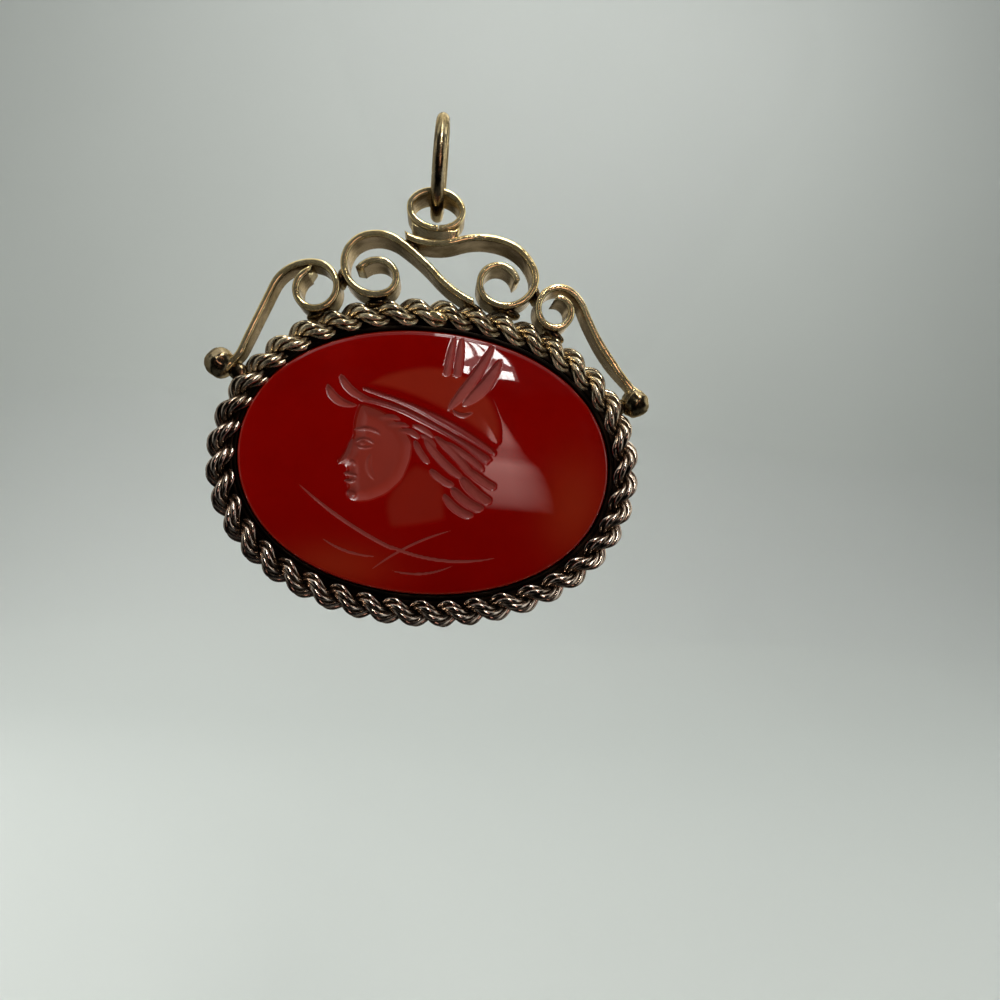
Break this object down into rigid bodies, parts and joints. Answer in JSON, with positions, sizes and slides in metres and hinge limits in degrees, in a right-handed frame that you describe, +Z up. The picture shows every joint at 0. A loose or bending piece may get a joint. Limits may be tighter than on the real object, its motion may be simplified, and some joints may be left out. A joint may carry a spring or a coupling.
{
  "type": "intaglio pendant",
  "caption": "Engraved oval stone pendant: a domed red stone in a twisted-rope setting, with a flat-strip scroll gallery, two end balls and a fixed ring on a jump ring.",
  "frame": {"origin": "the top of the jump ring's opening, where a chain or cord seats and the pendant hangs from", "axes": "front faces -Y, +X to the right seen from the front, +Z up"},
  "size_m": [0.0306, 0.0068, 0.0348],
  "materials": {
    "setting_metal": "old yellow metal, polished on the strips and balls, toned dark on the rope",
    "carnelian": "polished cloudy red stone, frosted in the engraving",
    "ring_metal": "old yellow metal, dull polish"
  },
  "bodies": {
    "jump_ring": {"jump_ring": "ring_metal"},
    "pendant": {"setting": "setting_metal", "stone": "carnelian"}
  },
  "joints": [
    {"name": "swing", "type": "hinge", "parent": "jump_ring", "child": "pendant", "pos_m": [0, 0, -0.0025], "axis": [1, 0, 0], "range_deg": [-80, 80]}
  ]
}
